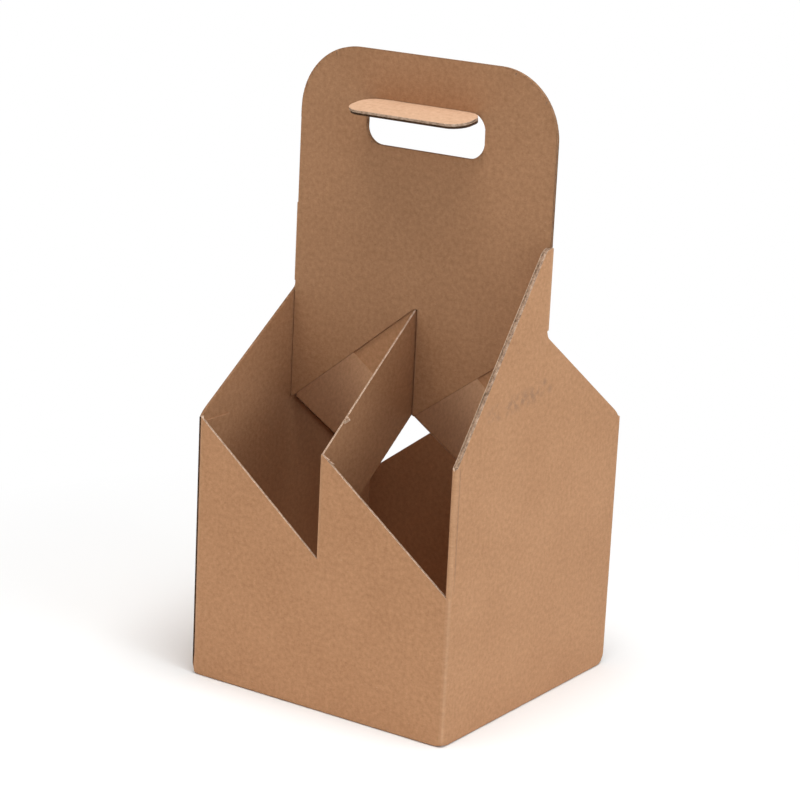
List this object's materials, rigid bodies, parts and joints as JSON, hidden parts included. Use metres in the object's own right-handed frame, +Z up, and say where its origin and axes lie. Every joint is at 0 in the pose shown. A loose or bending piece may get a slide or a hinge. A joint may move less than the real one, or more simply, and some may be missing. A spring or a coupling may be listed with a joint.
{
  "type": "wine bottle carrier",
  "caption": "Open corrugated-board bottle carrier folded from one sheet, with sawtooth sides, partitions, a central two-ply handle and a fold-out hand-hole flap.",
  "frame": {"origin": "middle of the base, on the surface it stands on", "axes": "+X along the front panel to the right, +Y to the rear, +Z up along the handle"},
  "size_m": [0.174, 0.174, 0.358],
  "materials": {
    "kraft_board": "matte"
  },
  "bodies": {
    "carrier": {"carrier": "kraft_board"},
    "flap": {"hand_flap": "kraft_board"}
  },
  "joints": [
    {"name": "flap_fold", "type": "hinge", "parent": "carrier", "child": "flap", "pos_m": [0, -0.0017, 0.331], "axis": [-1, 0, 0], "range_deg": [-82, 92]}
  ]
}
